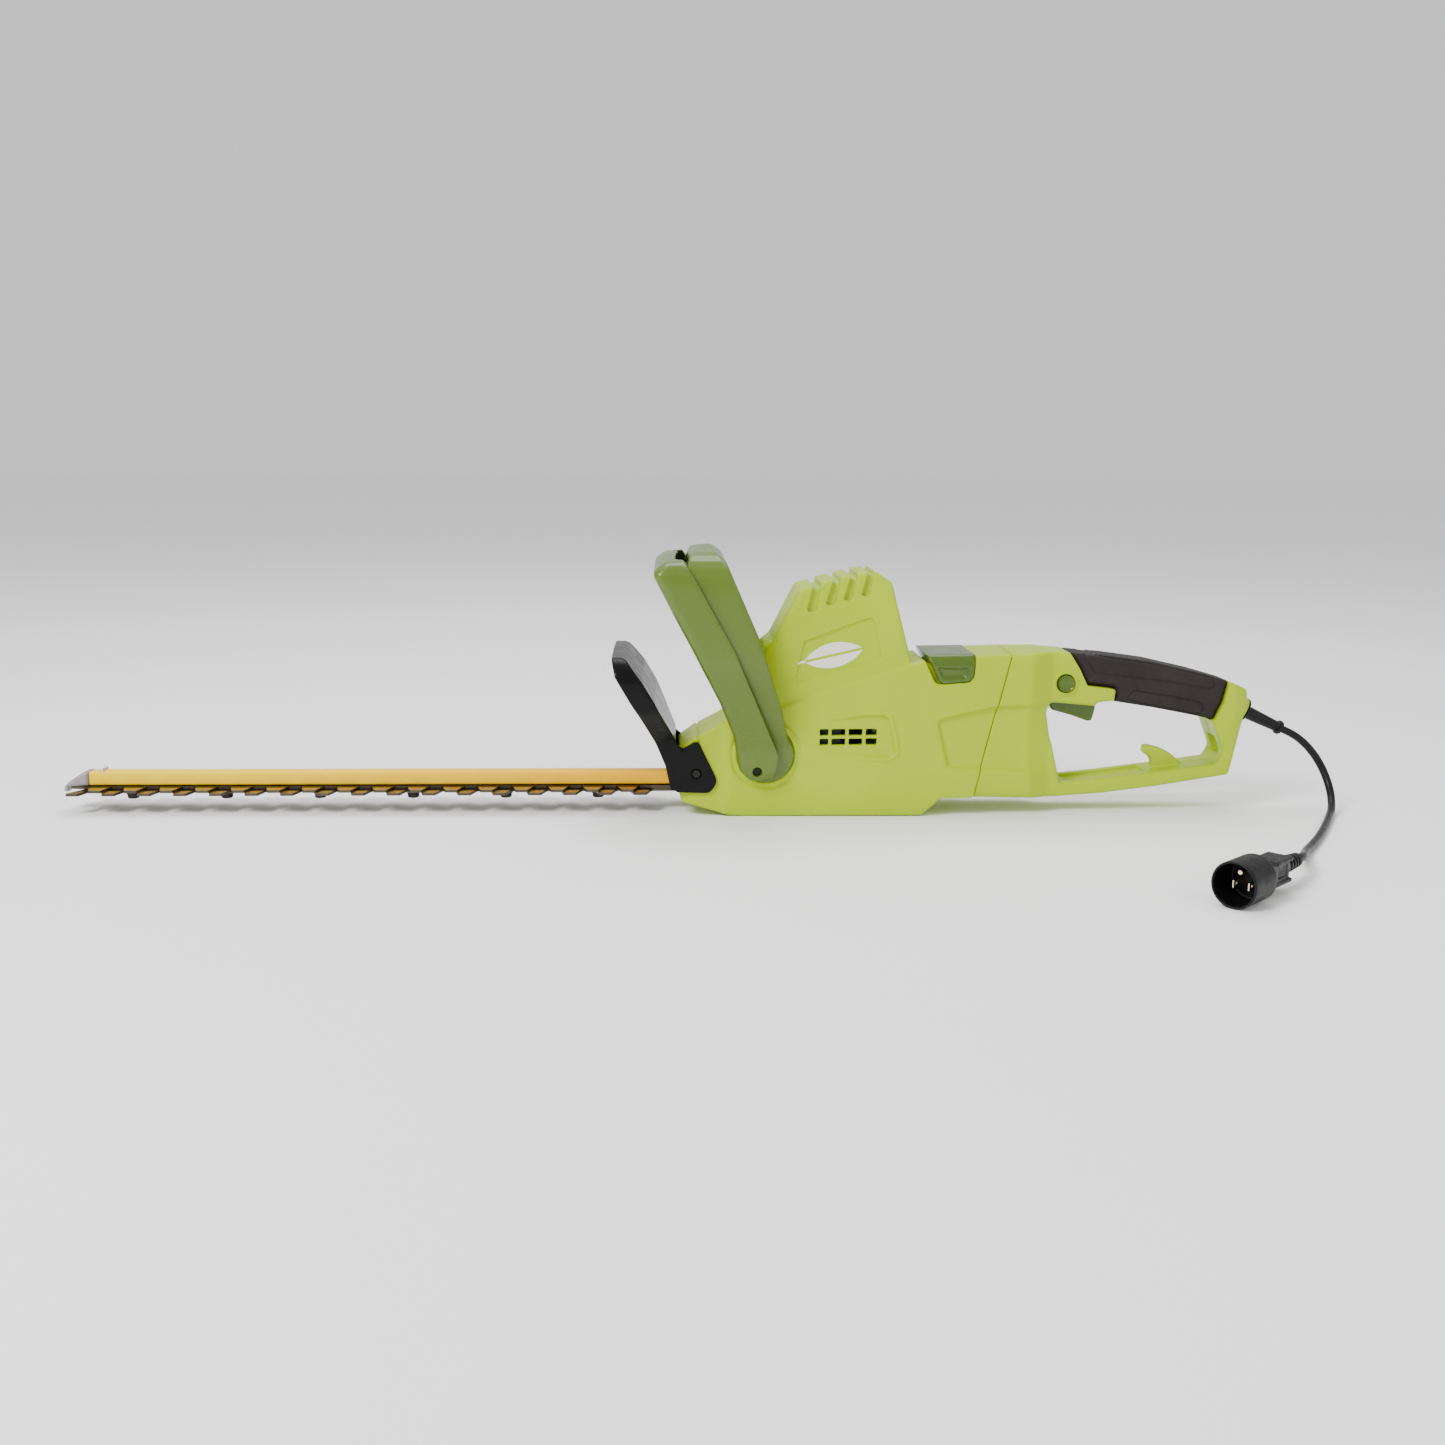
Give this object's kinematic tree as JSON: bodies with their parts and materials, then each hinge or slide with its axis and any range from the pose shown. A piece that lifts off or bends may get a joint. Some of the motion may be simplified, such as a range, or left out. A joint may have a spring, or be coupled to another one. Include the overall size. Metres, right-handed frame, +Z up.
{
  "type": "electric hedge trimmer",
  "caption": "Corded electric hedge trimmer: double-sided reciprocating blade, hand guard, loop front handle with switch lever, rotating rear D-handle, cord and recessed plug.",
  "frame": {"origin": "centre of the bounding box of the tool without its cord, on the plane its belly stands on", "axes": "+X towards the rear handle (the blade points to -X), +Y across the tool, +Z up"},
  "size_m": [1.1968, 0.4316, 0.2506],
  "materials": {
    "housing": "moulded plastic, fine texture, satin",
    "rear_housing": "moulded plastic, fine texture, satin",
    "front_handle": "olive moulded plastic, semi-gloss",
    "switch_lever": "olive moulded plastic, semi-gloss",
    "latch": "olive moulded plastic, semi-gloss",
    "trigger": "olive moulded plastic, semi-gloss",
    "lock_button": "olive moulded plastic, semi-gloss",
    "guard": "black moulded plastic, glossy",
    "grip": "soft overmould, dark warm grey",
    "blade_bar": "yellow coated extrusion, satin",
    "tip_guard": "grey moulded plastic",
    "blades": "ground steel, slightly bronzed teeth",
    "blade_bolts": "dark plated steel",
    "small_screws": "plated steel",
    "screws": "plated steel",
    "dark_screws": "black plated steel",
    "swivel": "grey acetal",
    "cord_gland": "black rubber",
    "strain_relief": "black flexible rubber",
    "cord": "black cable jacket, satin",
    "plug": "black moulded plug, satin",
    "plug_pins": "bright brass",
    "gears": "hardened steel",
    "crank": "ground steel",
    "bearings": "bearing steel",
    "armature": "laminations with copper winding",
    "fan": "black moulded plastic",
    "stator": "steel laminations",
    "brushes": "brass",
    "gear_plate": "glass-filled plastic",
    "switches": "black moulded plastic",
    "springs": "spring steel"
  },
  "bodies": {
    "motor_body": {"housing_left": "housing", "housing_right": "housing", "housing_screw_1": "screws", "housing_screw_2": "screws", "housing_screw_3": "screws", "gear_plate": "gear_plate", "gear_cover": "housing", "cover_screw_1": "screws", "cover_screw_2": "screws", "crank_bearing": "bearings", "stator": "stator", "motor_bearing_lower": "bearings", "motor_bearing_upper": "bearings", "brush_left": "brushes", "brush_right": "brushes", "front_switch": "switches", "blade_bar": "blade_bar", "blade_bolt_1": "blade_bolts", "blade_bolt_2": "blade_bolts", "blade_bolt_3": "blade_bolts", "blade_bolt_4": "blade_bolts", "blade_bolt_5": "blade_bolts", "blade_bolt_6": "blade_bolts", "tip_guard": "tip_guard", "tip_screw_1": "small_screws", "tip_screw_2": "small_screws", "hand_guard": "guard", "guard_screw_left": "dark_screws", "guard_screw_right": "dark_screws", "front_handle": "front_handle", "handle_screw_left": "dark_screws", "handle_screw_right": "dark_screws", "swivel_ring": "swivel"},
    "crank": {"drive_gear": "gears", "crank_shaft": "crank"},
    "rotor": {"rotor_shaft": "gears", "armature": "armature", "fan": "fan"},
    "upper_blade": {"upper_blade": "blades"},
    "lower_blade": {"lower_blade": "blades"},
    "switch_lever": {"switch_lever": "switch_lever"},
    "latch": {"latch": "latch", "latch_spring": "springs"},
    "rear_handle": {"rear_handle_left": "rear_housing", "rear_handle_right": "rear_housing", "handle_joint_screw_1": "screws", "handle_joint_screw_2": "screws", "grip": "grip", "rear_switch": "switches", "cord_gland": "cord_gland", "strain_relief": "strain_relief", "cord": "cord", "plug_body": "plug", "plug_blade_1": "plug_pins", "plug_blade_2": "plug_pins", "plug_ground_pin": "plug_pins"},
    "trigger": {"trigger": "trigger", "trigger_spring": "springs"},
    "lock_button": {"lock_button": "lock_button"}
  },
  "joints": [
    {"name": "crank_spin", "type": "hinge", "parent": "motor_body", "child": "crank", "pos_m": [0.11415, 0, 0.032], "axis": [0, 0, 1], "continuous": true},
    {"name": "motor_spin", "type": "hinge", "parent": "motor_body", "child": "rotor", "pos_m": [0.15615, 0, 0.1], "axis": [0, 0, 1], "continuous": true},
    {"name": "upper_blade_slide", "type": "slide", "parent": "motor_body", "child": "upper_blade", "axis": [1, 0, 0], "range_m": [0, 0.012]},
    {"name": "lower_blade_slide", "type": "slide", "parent": "motor_body", "child": "lower_blade", "axis": [1, 0, 0], "range_m": [-0.012, 0]},
    {"name": "switch_lever_squeeze", "type": "hinge", "parent": "motor_body", "child": "switch_lever", "pos_m": [0.09465, 0, 0.06], "axis": [0, -1, 0], "range_deg": [0, 4], "stiffness_Nm_per_rad": 2, "springref_deg": -6.88},
    {"name": "latch_pull", "type": "slide", "parent": "motor_body", "child": "latch", "axis": [-1, 0, 0], "range_m": [0, 0.004], "stiffness_N_per_m": 400, "springref_m": -0.004},
    {"name": "handle_turn", "type": "hinge", "parent": "motor_body", "child": "rear_handle", "pos_m": [0.30465, 0, 0.082], "axis": [0.9724, 0, -0.2334], "range_deg": [-90, 90]},
    {"name": "trigger_pull", "type": "hinge", "parent": "rear_handle", "child": "trigger", "pos_m": [0.37015, 0, 0.109], "axis": [0, -1, 0], "range_deg": [0, 7], "stiffness_Nm_per_rad": 0.4, "springref_deg": -8.59},
    {"name": "lock_press", "type": "slide", "parent": "rear_handle", "child": "lock_button", "axis": [0, 1, 0], "range_m": [0, 0.003], "stiffness_N_per_m": 300, "springref_m": -0.002}
  ],
  "couplings": [
    {"joint": "motor_spin", "follows": "crank_spin", "ratio": -4.25},
    {"joint": "lower_blade_slide", "follows": "upper_blade_slide", "ratio": -1}
  ]
}
